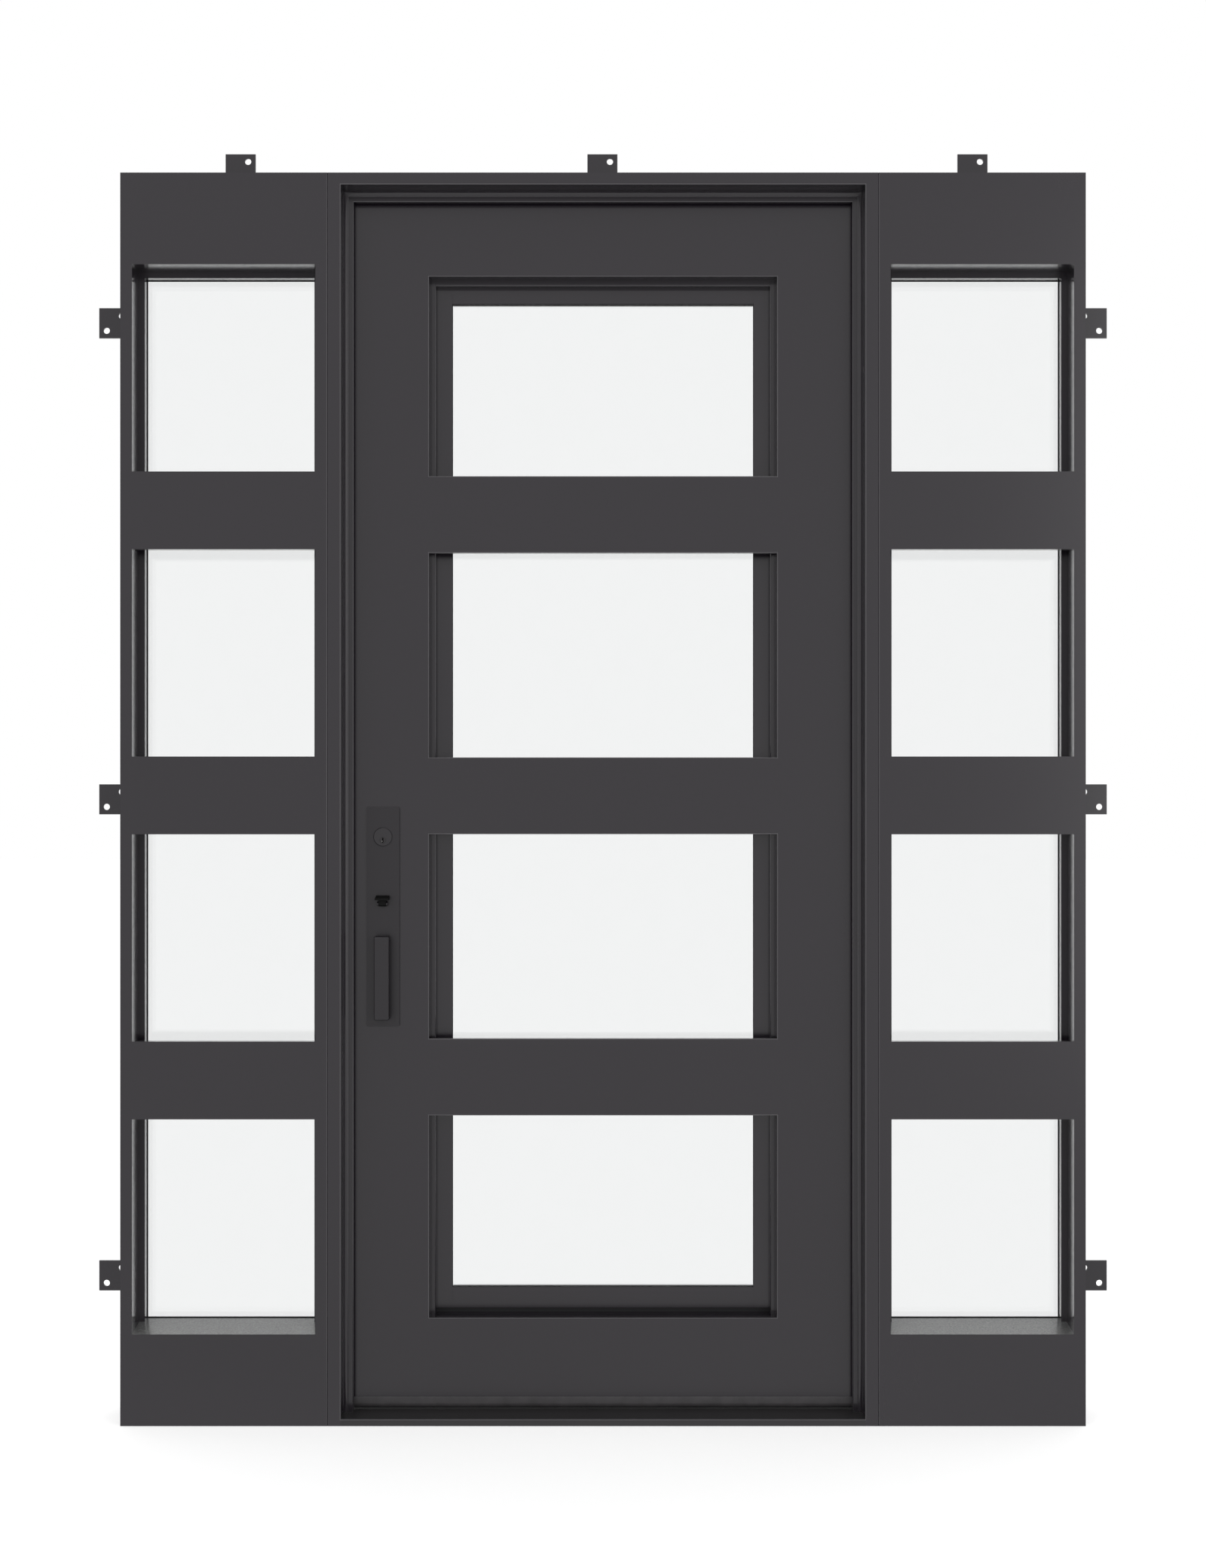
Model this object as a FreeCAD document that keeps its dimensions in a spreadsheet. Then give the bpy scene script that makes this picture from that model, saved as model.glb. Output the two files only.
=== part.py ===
import FreeCAD, Part
import os
import re
import Sketcher

# A single entrance door hung in its own frame between two fixed sidelights.
# Millimetres. X runs to the right, the outside face looks towards -Y, and Z is up.
# The origin is on the threshold's underside, at the middle of the width and of the frame's depth.

SIZES = [
    ("unit_height", 2077, "whole frame, floor to top"),
    ("door_unit_width", 914, "door frame, seam to seam"),
    ("sidelight_width", 343, "each sidelight frame"),
    ("frame_depth", 120, "front face to back face"),
    ("seam_ease", 0.8, "eased edges each side of a seam"),
    ("joint_line", 0.2, "hairline between butted strips"),
    ("jamb_face", 22, "face of a door jamb"),
    ("head_face", 19.5, "face of the frame head"),
    ("threshold_height", 11, "threshold at its front"),
    ("channel_setback", 54, "front face to the threshold's channel"),
    ("channel_depth", 6, "channel under the leaf"),
    ("stop_setback", 42, "front face to the face of the stop"),
    ("stop_thickness", 8, "stop, front to back at its edge"),
    ("stop_reach", 16, "stop, out from the jamb"),
    ("stop_cove", 7, "cove where the stop meets the jamb"),
    ("stop_lip", 0.5, "edge of the cove"),
    ("seal_radius", 4, "half round weather seal"),
    ("sidelight_stile_face", 19.5, "face of a sidelight stile"),
    ("sidelight_rail_height", 152, "top and bottom rails of a sidelight"),
    ("sill_rise", 10, "fall of the sloped sill"),
    ("bead_setback", 51, "front face to the glazing bead"),
    ("bead_width", 9.3, "glazing bead across its face"),
    ("glass_setback", 70, "front face to the sidelight glass"),
    ("sidelight_glass_thickness", 20, "sealed sidelight unit"),
    ("glass_edge_gap", 2, "glass edge to its frame"),
    ("glazing_rebate", 8, "rebate round the sidelight glass, behind the front beads"),
    ("bar_height", 129, "flat bars across the glass"),
    ("sidelight_bar_thickness", 16, "bars of the sidelights"),
    ("sidelight_bar_raise", 6.5, "middle sidelight bar above the middle of its opening"),
    ("sidelight_bar_spacing", 472.3, "sidelight bars, centre to centre"),
    ("leaf_setback", 59, "front face to the leaf"),
    ("leaf_thickness", 60, "leaf, front to back"),
    ("leaf_side_gap", 5.5, "leaf to jamb"),
    ("leaf_head_gap", 5.5, "leaf to head"),
    ("edge_bevel", 3.5, "bevel of the lock edge"),
    ("sweep_clearance", 5, "sweep to the channel floor"),
    ("sweep_height", 21, "door sweep"),
    ("sweep_round", 10, "rounded front of the sweep"),
    ("stile_width", 135.5, "leaf stiles"),
    ("leaf_top_rail", 131.2, "top rail of the leaf"),
    ("leaf_bottom_rail", 132.5, "bottom rail of the leaf"),
    ("leaf_bar_thickness", 14.5, "bars of the leaf"),
    ("leaf_bar_raise", 2.3, "middle leaf bar above the middle of its opening"),
    ("leaf_bar_spacing", 474.5, "leaf bars, centre to centre"),
    ("strip_setback", 24.4, "leaf face to the stop strip of the glass frame"),
    ("strip_width", 9.5, "stop strip across its face"),
    ("strip_thickness", 14.7, "stop strip, front to back"),
    ("sash_side_gap", 1.8, "glass frame to the leaf at the sides and top"),
    ("sash_bottom_gap", 7.3, "glass frame to the leaf's bottom rail"),
    ("sash_seal_setback", 2, "face of the glass frame to the seal under it"),
    ("sash_face", 35, "members of the glass frame"),
    ("sash_thickness", 20, "glass frame, front to back"),
    ("leaf_glass_thickness", 14, "sealed unit in the leaf"),
    ("leaf_glass_setback", 1.5, "glass behind the face of its frame"),
    ("groove_depth", 6, "groove that holds the leaf's glass"),
    ("tab_width", 50.8, "fixing tab, along the frame"),
    ("tab_reach", 50.8, "fixing tab, out from the frame"),
    ("tab_thickness", 3.5, "fixing tab plate"),
    ("tab_setback", 61.6, "front face to the tabs"),
    ("tab_hole_radius", 5.3, "hole in a tab"),
    ("tab_hole_inset", 12.7, "hole centre to the tab's edges"),
    ("side_tab_inset", 234.5, "outer side tabs, in from the frame's top and foot"),
    ("left_head_tab_inset", 188, "left head tab, in from the frame's left edge"),
    ("middle_head_tab_offset", 1, "middle head tab, left of centre"),
    ("right_head_tab_inset", 176, "right head tab, in from the frame's right edge"),
    ("lock_inset", 58.5, "middle of the lock plate, in from the leaf's lock edge"),
    ("plate_width", 56, "lock plate across"),
    ("plate_top", 1025.5, "top of the lock plate"),
    ("plate_margin", 12.9, "lock plate below the pull grip"),
    ("plate_thickness", 4, "lock plate"),
    ("plate_corner", 3, "corner radius of the lock plate"),
    ("cylinder_inset", 50.2, "cylinder's centre below the plate's top"),
    ("cylinder_radius", 15.6, "lock cylinder collar"),
    ("cylinder_reach", 3, "collar, out from the plate"),
    ("collar_bevel", 0.8, "bevelled rim of the collar"),
    ("plug_drop", 5.7, "plug centre below the cylinder's"),
    ("plug_radius", 6.25, "plug that the key turns"),
    ("plug_clearance", 0.05, "plug in its bore"),
    ("plug_back_gap", 0.3, "plug to the plate behind it"),
    ("keyway_width", 1.8, "key slot across"),
    ("keyway_height", 8, "key slot, top to bottom"),
    ("keyway_depth", 2, "key slot into the plug"),
    ("grip_width", 24.5, "pull grip across"),
    ("grip_length", 140, "pull grip, top to bottom"),
    ("grip_drop", 54.5, "pull grip below the thumb piece's pivot"),
    ("grip_reach", 23, "pull grip, out from the plate"),
    ("grip_thickness", 6, "bar of the pull grip"),
    ("grip_foot", 6.5, "feet of the pull grip"),
    ("grip_bend", 3, "outer bends of the pull grip"),
    ("grip_inner_bend", 3, "inner bends of the pull grip"),
    ("grip_ease", 0.8, "eased edges of the pull grip"),
    ("thumb_inset", 162.5, "thumb piece's pivot below the plate's top"),
    ("thumb_offset", 7, "pivot, out from the plate"),
    ("thumb_width", 23, "paddle across"),
    ("thumb_reach", 20.5, "paddle's front edge, out from the plate"),
    ("thumb_rear", 2.5, "paddle's rear edge, out from the plate"),
    ("thumb_lift", 6.4, "paddle's underside above the pivot"),
    ("thumb_front_rise", 2.9, "paddle's front edge, underside to top"),
    ("thumb_rear_rise", 7.4, "paddle's rear edge, underside to top"),
    ("thumb_ease", 0.8, "eased edges of the paddle's top"),
    ("web_width", 12.1, "web under the paddle, across"),
    ("web_radius", 4.6, "eye of the web, round the pin"),
    ("thumb_pin_radius", 2, "pin of the thumb piece"),
    ("pin_clearance", 0.05, "running clearance on a pin"),
    ("lug_radius", 3.4, "lugs that carry the thumb pin"),
    ("lug_thickness", 2.2, "each lug across"),
    ("lug_side_gap", 0.5, "lug to the web"),
    ("turn_rose_radius", 15.6, "rose of the inside turn"),
    ("turn_rose_reach", 4, "rose, out from the plate"),
    ("turn_length", 32, "inside turn, end to end"),
    ("turn_width", 10, "inside turn across"),
    ("turn_reach", 20, "inside turn, out from its rose"),
    ("edge_plate_width", 24, "plate on the leaf's edge, across"),
    ("edge_plate_thickness", 3, "plate on the leaf's edge"),
    ("edge_plate_margin", 44, "edge and strike plates beyond the latch and bolt"),
    ("bolt_thickness", 14, "latch and bolt, front to back"),
    ("latch_rise", 22, "latch, top to bottom"),
    ("bolt_rise", 30, "bolt, top to bottom"),
    ("bolt_length", 14, "latch and bolt, drawn back into the leaf"),
    ("bolt_gap", 0.3, "latch and bolt to their windows"),
    ("strike_width", 32, "strike plate across"),
    ("strike_thickness", 2, "strike plate"),
    ("strike_window_gap", 3, "strike windows round the latch and bolt"),
    ("strike_pocket", 12, "pocket in the jamb behind a strike window"),
    ("hinge_height", 114.3, "butt hinge"),
    ("hinge_plate_width", 38, "hinge plate behind the barrel"),
    ("hinge_plate_thickness", 2.4, "hinge plate"),
    ("barrel_radius", 6.5, "hinge barrel"),
    ("barrel_offset", 7, "barrel's axis behind the frame"),
    ("barrel_gap", 0.3, "between knuckles"),
    ("plate_barrel_gap", 0.5, "plate to the other plate's knuckles"),
    ("hinge_pin_radius", 3, "hinge pin"),
    ("pin_head_radius", 5, "head of the hinge pin"),
    ("pin_head_height", 3, "head of the hinge pin, up"),
    ("top_hinge_inset", 230, "top hinge below the leaf's top"),
    ("bottom_hinge_inset", 300, "bottom hinge above the leaf's foot"),
]

# Places that follow from the sizes. A left-hand place is the right-hand one with its sign turned.
PLACES = {
    "front": "(0 - frame_depth / 2)",
    "back": "(frame_depth / 2)",
    "unit_edge": "(door_unit_width / 2)",
    "outer_edge": "(unit_edge + sidelight_width)",
    "opening_edge": "(unit_edge - jamb_face)",
    "opening_top": "(unit_height - head_face)",
    "channel_front": "(front + channel_setback)",
    "channel_floor": "(threshold_height - channel_depth)",
    "stop_front": "(front + stop_setback)",
    "stop_back": "(stop_front + stop_thickness)",
    "stop_inner": "(opening_edge - stop_reach)",
    "stop_under": "(opening_top - stop_reach)",
    "side_outer": "(outer_edge - sidelight_stile_face)",
    "side_inner": "(unit_edge + sidelight_stile_face)",
    "side_low": "sidelight_rail_height",
    "side_high": "(unit_height - sidelight_rail_height)",
    "rebate_low": "(side_low - glazing_rebate)",
    "rebate_high": "(side_high + glazing_rebate)",
    "bead_front": "(front + bead_setback)",
    "side_glass_front": "(front + glass_setback)",
    "side_glass_back": "(side_glass_front + sidelight_glass_thickness)",
    "bead_back": "(side_glass_back + side_glass_front - bead_front)",
    "leaf_front": "(front + leaf_setback)",
    "leaf_back": "(leaf_front + leaf_thickness)",
    "leaf_middle": "(leaf_front + leaf_thickness / 2)",
    "leaf_edge": "(opening_edge - leaf_side_gap)",
    "leaf_top": "(opening_top - leaf_head_gap)",
    "sweep_bottom": "(channel_floor + sweep_clearance)",
    "leaf_bottom": "(sweep_bottom + sweep_height)",
    "lite_edge": "(leaf_edge - stile_width)",
    "lite_top": "(leaf_top - leaf_top_rail)",
    "lite_bottom": "(leaf_bottom + leaf_bottom_rail)",
    "strip_front": "(leaf_front + strip_setback)",
    "sash_front": "(strip_front + strip_thickness)",
    "sash_back": "(sash_front + sash_thickness)",
    "sash_edge": "(lite_edge - sash_side_gap)",
    "sash_top": "(lite_top - sash_side_gap)",
    "sash_bottom": "(lite_bottom + sash_bottom_gap)",
    "sash_inner": "(sash_edge - sash_face)",
    "pane_top": "(sash_top - sash_face)",
    "pane_bottom": "(sash_bottom + sash_face)",
    "groove_front": "(sash_front + leaf_glass_setback)",
    "groove_back": "(groove_front + leaf_glass_thickness)",
    "tab_front": "(front + tab_setback)",
    "plate_face": "(leaf_front - plate_thickness)",
    "cylinder_height": "(plate_top - cylinder_inset)",
    "thumb_height": "(plate_top - thumb_inset)",
    "grip_top": "(thumb_height - grip_drop)",
    "grip_bottom": "(grip_top - grip_length)",
    "plate_bottom": "(grip_bottom - plate_margin)",
    "plug_height": "(cylinder_height - plug_drop)",
    "grip_front": "(plate_face - grip_reach)",
    "grip_inside": "(grip_front + grip_thickness)",
    "thumb_pivot": "(plate_face - thumb_offset)",
    "inner_plate_face": "(leaf_back + plate_thickness)",
    "hinge_across": "(opening_edge - leaf_side_gap / 2)",
    "hinge_back": "(back + barrel_offset)",
    "top_hinge": "(leaf_top - top_hinge_inset)",
    "bottom_hinge": "(leaf_bottom + bottom_hinge_inset)",
    "edge_plate_low": "(thumb_height - edge_plate_margin)",
    "edge_plate_high": "(cylinder_height + edge_plate_margin)",
    "edge_plate_near": "(leaf_middle - edge_plate_width / 2)",
    "edge_plate_far": "(leaf_middle + edge_plate_width / 2)",
}

doc = FreeCAD.newDocument("door_with_sidelights")
sheet = doc.addObject("Spreadsheet::Sheet", "Sizes")
for row, (alias, size, note) in enumerate(SIZES, start=1):
    sheet.set(f"A{row}", alias)
    sheet.set(f"B{row}", str(size))
    sheet.set(f"C{row}", note)
    sheet.setAlias(f"B{row}", alias)
doc.recompute()

ALIASES = {alias for alias, size, note in SIZES}
# The latch lies behind the thumb piece, and the bolt behind the cylinder: their middles and rises.
BOLTS = {"latch": ("thumb_height", "latch_rise"), "bolt": ("cylinder_height", "bolt_rise")}
KNUCKLES = 5
# Two places that are nearer than this are the same place.
SAME_PLACE = 0.01
nodes = {}


def bound(text):
    """Turns a sum of named sizes and places into an expression on the sheet's cells."""
    def word(match):
        name = match.group(0)
        if name in ALIASES:
            return f"Sizes.{name}"
        return bound(PLACES[name]) if name in PLACES else name
    return re.sub(r"[a-z][a-z_]+", word, str(text))


def value(text):
    """The number that a sum of named sizes and places comes to."""
    return float(sheet.evalExpression(bound(text)))


def keep(name, piece):
    """Names a finished sub-part, which is then written to its own file."""
    piece.Label = name
    nodes[name] = piece
    return piece


def box(name, across, depth, up):
    """A plain block between three pairs of places."""
    block = doc.addObject("Part::Box", name)
    for side, axis, (low, high) in zip(("Length", "Width", "Height"), "xyz", (across, depth, up)):
        block.setExpression(side, bound(f"({high}) - ({low})"))
        block.setExpression(f"Placement.Base.{axis}", bound(low))
    return block


def mirrored(name, piece, axis="x", plane="0"):
    """The same piece on the other side of a plane that is square to the axis."""
    twin = doc.addObject("Part::Mirroring", name)
    twin.Source = piece
    twin.Normal = tuple(letter == axis for letter in "xyz")
    twin.setExpression(f"Base.{axis}", bound(plane))
    return twin


def together(name, pieces):
    """Like pieces that don't touch, as one."""
    compound = doc.addObject("Part::Compound", name)
    compound.Links = pieces
    return compound


def keep_group(name, pieces):
    """Like pieces that don't touch, kept as one sub-part."""
    return keep(name, together(name, pieces))


def sketch_on(body, role, offset, name):
    """A sketch on one of the body's own planes, moved along the plane's normal."""
    sketch = body.newObject("Sketcher::SketchObject", name)
    plane = [feature for feature in body.Origin.OriginFeatures if feature.Role == role][0]
    sketch.AttachmentSupport = [(plane, "")]
    sketch.MapMode = "FlatFace"
    sketch.setExpression("AttachmentOffset.Base.z", bound(offset))
    return sketch


def place_point(sketch, geometry, point, across, up):
    """Ties one point of a sketch to two named places."""
    for kind, place in (("DistanceX", across), ("DistanceY", up)):
        if place is not None:
            number = sketch.addConstraint(Sketcher.Constraint(kind, -1, 1, geometry, point, value(place)))
            sketch.setExpression(f"Constraints[{number}]", bound(place))


def outline(sketch, points):
    """A closed outline. A point is (across, up), or (across, up, centre across, centre up, turn)
    where an arc leads to it, with turn 1 for anticlockwise and -1 for clockwise."""
    first = sketch.GeometryCount
    spots = [FreeCAD.Vector(value(point[0]), value(point[1]), 0) for point in points]
    for index, point in enumerate(points):
        start, end = spots[index - 1], spots[index]
        if len(point) == 2:
            sketch.addGeometry(Part.LineSegment(start, end), False)
            continue
        centre = FreeCAD.Vector(value(point[2]), value(point[3]), 0)
        radius = (start - centre).Length
        circle = Part.Circle(centre, FreeCAD.Vector(0, 0, 1), radius)
        ends = (start, end) if point[4] > 0 else (end, start)
        angles = [circle.parameter(spot) for spot in ends]
        sketch.addGeometry(Part.ArcOfCircle(circle, *angles), False)
    for index, point in enumerate(points):
        following = (index + 1) % len(points)
        backwards = len(point) > 2 and point[4] < 0
        next_backwards = len(points[following]) > 2 and points[following][4] < 0
        end, start = (1 if backwards else 2), (2 if next_backwards else 1)
        sketch.addConstraint(Sketcher.Constraint("Coincident", first + index, end, first + following, start))
        place_point(sketch, first + index, end, point[0], point[1])
        if len(point) > 2:
            # Two ends and one of the centre's places fix an arc: the one that its ends leave open.
            level = abs(spots[index - 1].y - spots[index].y) < abs(spots[index - 1].x - spots[index].x)
            place_point(sketch, first + index, 3, *((None, point[3]) if level else (point[2], None)))


def ring(sketch, across, up, radius):
    """A circle in a sketch, with its centre and radius tied to named sizes."""
    centre = FreeCAD.Vector(value(across), value(up), 0)
    number = sketch.addGeometry(Part.Circle(centre, FreeCAD.Vector(0, 0, 1), value(radius)), False)
    place_point(sketch, number, 3, across, up)
    limit = sketch.addConstraint(Sketcher.Constraint("Radius", number, value(radius)))
    sketch.setExpression(f"Constraints[{limit}]", bound(radius))


def pad(body, role, span, draw, name="Pad"):
    """Adds what draw puts in a sketch, from the first place of span to the second."""
    low, high = span
    along_back = role == "XZ_Plane"
    sketch = sketch_on(body, role, f"0 - ({low})" if along_back else low, f"{name}_sketch")
    draw(sketch)
    feature = body.newObject("PartDesign::Pad", name)
    feature.Profile = sketch
    feature.Reversed = along_back
    feature.setExpression("Length", bound(f"({high}) - ({low})"))
    doc.recompute()
    return feature


def pocket(body, role, span, draw, name="Pocket"):
    """Cuts what draw puts in a sketch, from the first place of span to the second."""
    low, high = span
    along_back = role == "XZ_Plane"
    before = body.Shape.Volume
    sketch = sketch_on(body, role, f"0 - ({low})" if along_back else high, f"{name}_sketch")
    draw(sketch)
    feature = body.newObject("PartDesign::Pocket", name)
    feature.Profile = sketch
    feature.setExpression("Length", bound(f"({high}) - ({low})"))
    doc.recompute()
    if not body.Shape.Volume < before:
        raise RuntimeError(f"{body.Name}: {name} cut nothing")
    return feature


def ease(body, kind, size, wanted, name):
    """A fillet or chamfer on the edges of the body that wanted picks."""
    base = body.Tip
    edges = [f"Edge{index}" for index, edge in enumerate(base.Shape.Edges, start=1) if wanted(edge)]
    feature = body.newObject(f"PartDesign::{kind}", name)
    feature.Base = (base, edges)
    feature.setExpression("Radius" if kind == "Fillet" else "Size", bound(size))
    doc.recompute()
    return feature


def prism(name, role, span, points):
    """A body that is one outline, drawn out between two places."""
    body = doc.addObject("PartDesign::Body", name)
    pad(body, role, span, lambda sketch: outline(sketch, points))
    return body


def rectangle(low, high, bottom, top):
    """The four corners of a rectangle, anticlockwise."""
    return [(low, bottom), (high, bottom), (high, top), (low, top)]


def turned(points):
    """The same outline with its two directions changed over."""
    return [(up, across) if not arc else (up, across, arc[1], arc[0], -arc[2]) for across, up, *arc in points]


def left(place):
    """The same place on the left of the middle."""
    return f"(0 - ({place}))"


def right(place):
    """A place on the right of the middle, as it stands."""
    return f"({place})"


def bolt_window(name, gap):
    """The outline round the latch or bolt in a plate, gap wider than it all round."""
    middle, rise = BOLTS[name]
    return rectangle(f"leaf_middle - bolt_thickness / 2 - {gap}", f"leaf_middle + bolt_thickness / 2 + {gap}",
                     f"{middle} - {rise} / 2 - {gap}", f"{middle} + {rise} / 2 + {gap}")


def frame():
    """Head, jambs, threshold, planted stops, seals and strike plate of the door's frame."""
    keep("frame_head", box("frame_head", (left("opening_edge"), "opening_edge"), ("front", "back"),
                           ("opening_top", "unit_height")))

    def jamb(name):
        return prism(name, "XY_Plane", ("0", "unit_height"), [
            (left("unit_edge"), "back"),
            (left("unit_edge"), "front + seam_ease"),
            (f"{left('unit_edge')} + seam_ease", "front"),
            (left("opening_edge"), "front"),
            (left("opening_edge"), "back")])

    jamb_left = jamb("jamb_left")
    strike_depth = (f"{left('opening_edge')} - strike_thickness", left("opening_edge"))
    strike = rectangle("leaf_middle - strike_width / 2", "leaf_middle + strike_width / 2",
                       "edge_plate_low", "edge_plate_high")
    pocket(jamb_left, "YZ_Plane", strike_depth, lambda sketch: outline(sketch, strike), "strike_seat")
    strike_plate = prism("strike_plate", "YZ_Plane", strike_depth, strike)
    behind_strike = (f"{strike_depth[0]} - strike_pocket", strike_depth[0])
    for name in BOLTS:
        window = bolt_window(name, "strike_window_gap")
        for body, depth in ((strike_plate, strike_depth), (jamb_left, behind_strike)):
            pocket(body, "YZ_Plane", depth, lambda sketch: outline(sketch, window), f"{name}_window")
    keep("jamb_left", jamb_left)
    keep("jamb_right", mirrored("jamb_right", jamb("jamb_plain")))
    keep("strike_plate", strike_plate)

    keep("threshold", prism("threshold", "YZ_Plane", (left("opening_edge"), "opening_edge"), [
        ("front", "0"), ("back", "0"), ("back", "channel_floor"), ("channel_front", "channel_floor"),
        ("channel_front", "threshold_height"), ("front", "threshold_height")]))

    def stop_section(wall, inward):
        """A cove, a flat face and a square edge. inward is the sign that leads away from the wall."""
        cove_end = f"{wall} {inward} (stop_lip + stop_cove)"
        turn = -1 if inward == "+" else 1
        return [
            (wall, "stop_front - stop_cove"),
            (f"{wall} {inward} stop_lip", "stop_front - stop_cove"),
            (cove_end, "stop_front", cove_end, "stop_front - stop_cove", turn),
            (f"{wall} {inward} stop_reach", "stop_front"),
            (f"{wall} {inward} stop_reach", "stop_back"),
            (wall, "stop_back")]

    side_stop = prism("stop_left", "XY_Plane", ("threshold_height", "opening_top"),
                      stop_section(left("opening_edge"), "+"))
    through = ("stop_front - stop_cove - stop_lip", "stop_back + stop_lip")
    mitre = [(f"{left('opening_edge')} - stop_lip", "opening_top + stop_lip"),
             (f"{left('stop_inner')} + stop_lip", "stop_under - stop_lip"),
             (f"{left('stop_inner')} + stop_lip", "opening_top + stop_lip")]
    pocket(side_stop, "XZ_Plane", through, lambda sketch: outline(sketch, mitre), "mitre")

    head_stop = prism("stop_head", "YZ_Plane", (left("opening_edge"), "opening_edge"),
                      turned(stop_section("opening_top", "-")))
    for side in (left, right):
        corner = [(side("opening_edge + stop_lip"), "opening_top + stop_lip - joint_line"),
                  (side("opening_edge + stop_lip"), "stop_under - stop_lip - joint_line"),
                  (side("stop_inner - stop_lip"), "stop_under - stop_lip - joint_line")]
        pocket(head_stop, "XZ_Plane", through, lambda sketch: outline(sketch, corner),
               f"{side.__name__}_mitre")
    keep_group("frame_stops", [side_stop, mirrored("stop_right", side_stop), head_stop])

    # A half round seal on the back of each stop, midway across it.
    seal_line = left("opening_edge - stop_reach / 2")
    seal_level = "(opening_top - stop_reach / 2)"

    def half_round(middle):
        return [(f"{middle} + seal_radius", "stop_back"),
                (f"{middle} - seal_radius", "stop_back", middle, "stop_back", 1)]

    up_the_jamb = ("threshold_height", f"{seal_level} - seal_radius - joint_line")
    along_the_head = (f"{seal_line} - seal_radius", f"{left(seal_line)} + seal_radius")
    side_seal = prism("seal_left", "XY_Plane", up_the_jamb, half_round(seal_line))
    head_seal = prism("seal_head", "YZ_Plane", along_the_head, turned(half_round(seal_level)))
    keep_group("weather_seals", [side_seal, mirrored("seal_right", side_seal), head_seal])


def sidelight():
    """Both sidelights: stiles, rails, bars, glass and beads. The right one mirrors the left."""
    def pair(name, make):
        piece = make(f"left_sidelight_{name}")
        keep(f"left_sidelight_{name}", piece)
        keep(f"right_sidelight_{name}", mirrored(f"right_sidelight_{name}", piece))

    opening = (left("side_outer"), left("side_inner"))
    rebate = (f"({opening[0]} - glazing_rebate)", f"({opening[1]} + glazing_rebate)")

    def rebated(stile):
        """Cuts the rebate for the glass and its rear bead from a stile."""
        pocket(stile, "XZ_Plane", ("side_glass_front", "back"),
               lambda sketch: outline(sketch, rectangle(*rebate, "rebate_low", "rebate_high")), "rebate")
        return stile

    def outer_stile(name):
        return rebated(prism(name, "XY_Plane", ("0", "unit_height"),
                             rectangle(left("outer_edge"), left("side_outer"), "front", "back")))

    def inner_stile(name):
        return rebated(prism(name, "XY_Plane", ("0", "unit_height"), [
            (left("side_inner"), "front"),
            (f"{left('unit_edge')} - seam_ease", "front"),
            (left("unit_edge"), "front + seam_ease"),
            (left("unit_edge"), "back"),
            (left("side_inner"), "back")]))

    def top_rail(name):
        return prism(name, "YZ_Plane", opening, [
            ("front", "side_high"), ("side_glass_front", "side_high"), ("side_glass_front", "rebate_high"),
            ("back", "rebate_high"), ("back", "unit_height"), ("front", "unit_height")])

    def bottom_rail(name):
        """The rail's top slopes up from the face to the glass, and steps down into the rebate."""
        return prism(name, "YZ_Plane", opening, [
            ("front", "0"), ("back", "0"), ("back", "rebate_low"), ("side_glass_front", "rebate_low"),
            ("side_glass_front", "side_low + sill_rise"), ("front", "side_low")])

    def bars(name):
        rows = []
        for step in (-1, 0, 1):
            middle = f"((side_low + side_high) / 2 + sidelight_bar_raise + ({step}) * sidelight_bar_spacing)"
            rows.append(box(f"{name}_{step + 2}", opening, ("front", "front + sidelight_bar_thickness"),
                            (f"{middle} - bar_height / 2", f"{middle} + bar_height / 2")))
        return together(name, rows)

    def glass(name):
        return box(name, (f"{rebate[0]} + glass_edge_gap", f"{rebate[1]} - glass_edge_gap"),
                   ("side_glass_front", "side_glass_back"), ("rebate_low", "rebate_high - glass_edge_gap"))

    def front_beads(name):
        """Side beads that stand on the sloped sill, and a top bead between them."""
        bead_foot = "(side_low + sill_rise * bead_setback / glass_setback)"
        side = prism(f"{name}_side", "YZ_Plane", (opening[0], f"{opening[0]} + bead_width"), [
            ("bead_front", bead_foot), ("side_glass_front", "side_low + sill_rise"),
            ("side_glass_front", "side_high"), ("bead_front", "side_high")])
        other = mirrored(f"{name}_other_side", side, plane=f"({opening[0]} + {opening[1]}) / 2")
        between_beads = (f"{opening[0]} + bead_width + joint_line", f"{opening[1]} - bead_width - joint_line")
        top = box(f"{name}_top", between_beads, ("bead_front", "side_glass_front"),
                  ("side_high - bead_width", "side_high"))
        return together(name, [side, other, top])

    def rear_beads(name):
        """Beads that fill the rebate behind the glass, flush with the opening in front of it."""
        depth = ("side_glass_back", "bead_back")
        height = ("rebate_low", "rebate_high")
        between_beads = (f"{opening[0]} + joint_line", f"{opening[1]} - joint_line")
        return together(name, [
            box(f"{name}_left", (rebate[0], opening[0]), depth, height),
            box(f"{name}_right", (opening[1], rebate[1]), depth, height),
            box(f"{name}_top", between_beads, depth, ("side_high", "rebate_high")),
            box(f"{name}_bottom", between_beads, depth, ("rebate_low", "side_low"))])

    pair("outer_stile", outer_stile)
    pair("inner_stile", inner_stile)
    pair("top_rail", top_rail)
    pair("bottom_rail", bottom_rail)
    pair("bars", bars)
    pair("glass", glass)
    pair("front_beads", front_beads)
    pair("rear_beads", rear_beads)


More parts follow.
